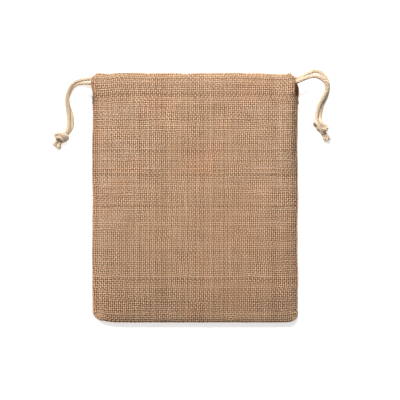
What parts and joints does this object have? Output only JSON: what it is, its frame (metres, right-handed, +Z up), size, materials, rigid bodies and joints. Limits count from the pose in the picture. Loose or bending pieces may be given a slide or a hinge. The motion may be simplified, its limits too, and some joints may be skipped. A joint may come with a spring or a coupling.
{
  "type": "drawstring gift pouch",
  "caption": "Flat woven gift pouch with a turned casing, side slits and a pair of knotted drawcords that pull the mouth shut from both sides.",
  "frame": {"origin": "middle of the pouch's footprint, on the surface that it lies on, without its free cord ends", "axes": "+Y from the bottom seam to the mouth, +X across to the right seen from the front, +Z up through the front panel"},
  "size_m": [0.2037, 0.1842, 0.0146],
  "materials": {
    "linen": "loose plain weave, matt",
    "thread": "matt spun sewing thread",
    "cotton_cord": "soft twisted cotton, matt"
  },
  "bodies": {
    "pouch": {"front_panel": "linen", "back_panel": "linen", "left_side_seam_thread": "thread", "right_side_seam_thread": "thread", "bottom_seam_thread": "thread", "left_overlock_thread": "thread", "right_overlock_thread": "thread", "bottom_overlock_thread": "thread", "front_casing_stitch": "thread", "back_casing_stitch": "thread"},
    "left_drawcord": {"left_cord_loop": "cotton_cord", "left_cord_front_end": "cotton_cord", "left_cord_back_end": "cotton_cord", "left_knot": "cotton_cord", "left_cord_tails": "cotton_cord"},
    "right_drawcord": {"right_cord_loop": "cotton_cord", "right_cord_front_end": "cotton_cord", "right_cord_back_end": "cotton_cord", "right_knot": "cotton_cord", "right_cord_tails": "cotton_cord"},
    "left_mouth_end": {"left_slit_tack": "thread"},
    "right_mouth_end": {"right_slit_tack": "thread"}
  },
  "joints": [
    {"name": "left_cord_pull", "type": "slide", "parent": "pouch", "child": "left_drawcord", "axis": [-1, 0, 0], "range_m": [0, 0.055], "deforming": ["front_panel", "back_panel", "front_casing_stitch", "back_casing_stitch"]},
    {"name": "right_cord_pull", "type": "slide", "parent": "pouch", "child": "right_drawcord", "axis": [1, 0, 0], "range_m": [0, 0.055], "deforming": ["front_panel", "back_panel", "front_casing_stitch", "back_casing_stitch"]},
    {"name": "right_mouth_gather", "type": "slide", "parent": "pouch", "child": "right_mouth_end", "axis": [-1, 0, 0], "range_m": [0, 0.055]},
    {"name": "left_mouth_gather", "type": "slide", "parent": "pouch", "child": "left_mouth_end", "axis": [1, 0, 0], "range_m": [0, 0.055]}
  ],
  "couplings": [
    {"joint": "right_mouth_gather", "follows": "left_cord_pull", "ratio": 1},
    {"joint": "left_mouth_gather", "follows": "right_cord_pull", "ratio": 1}
  ]
}
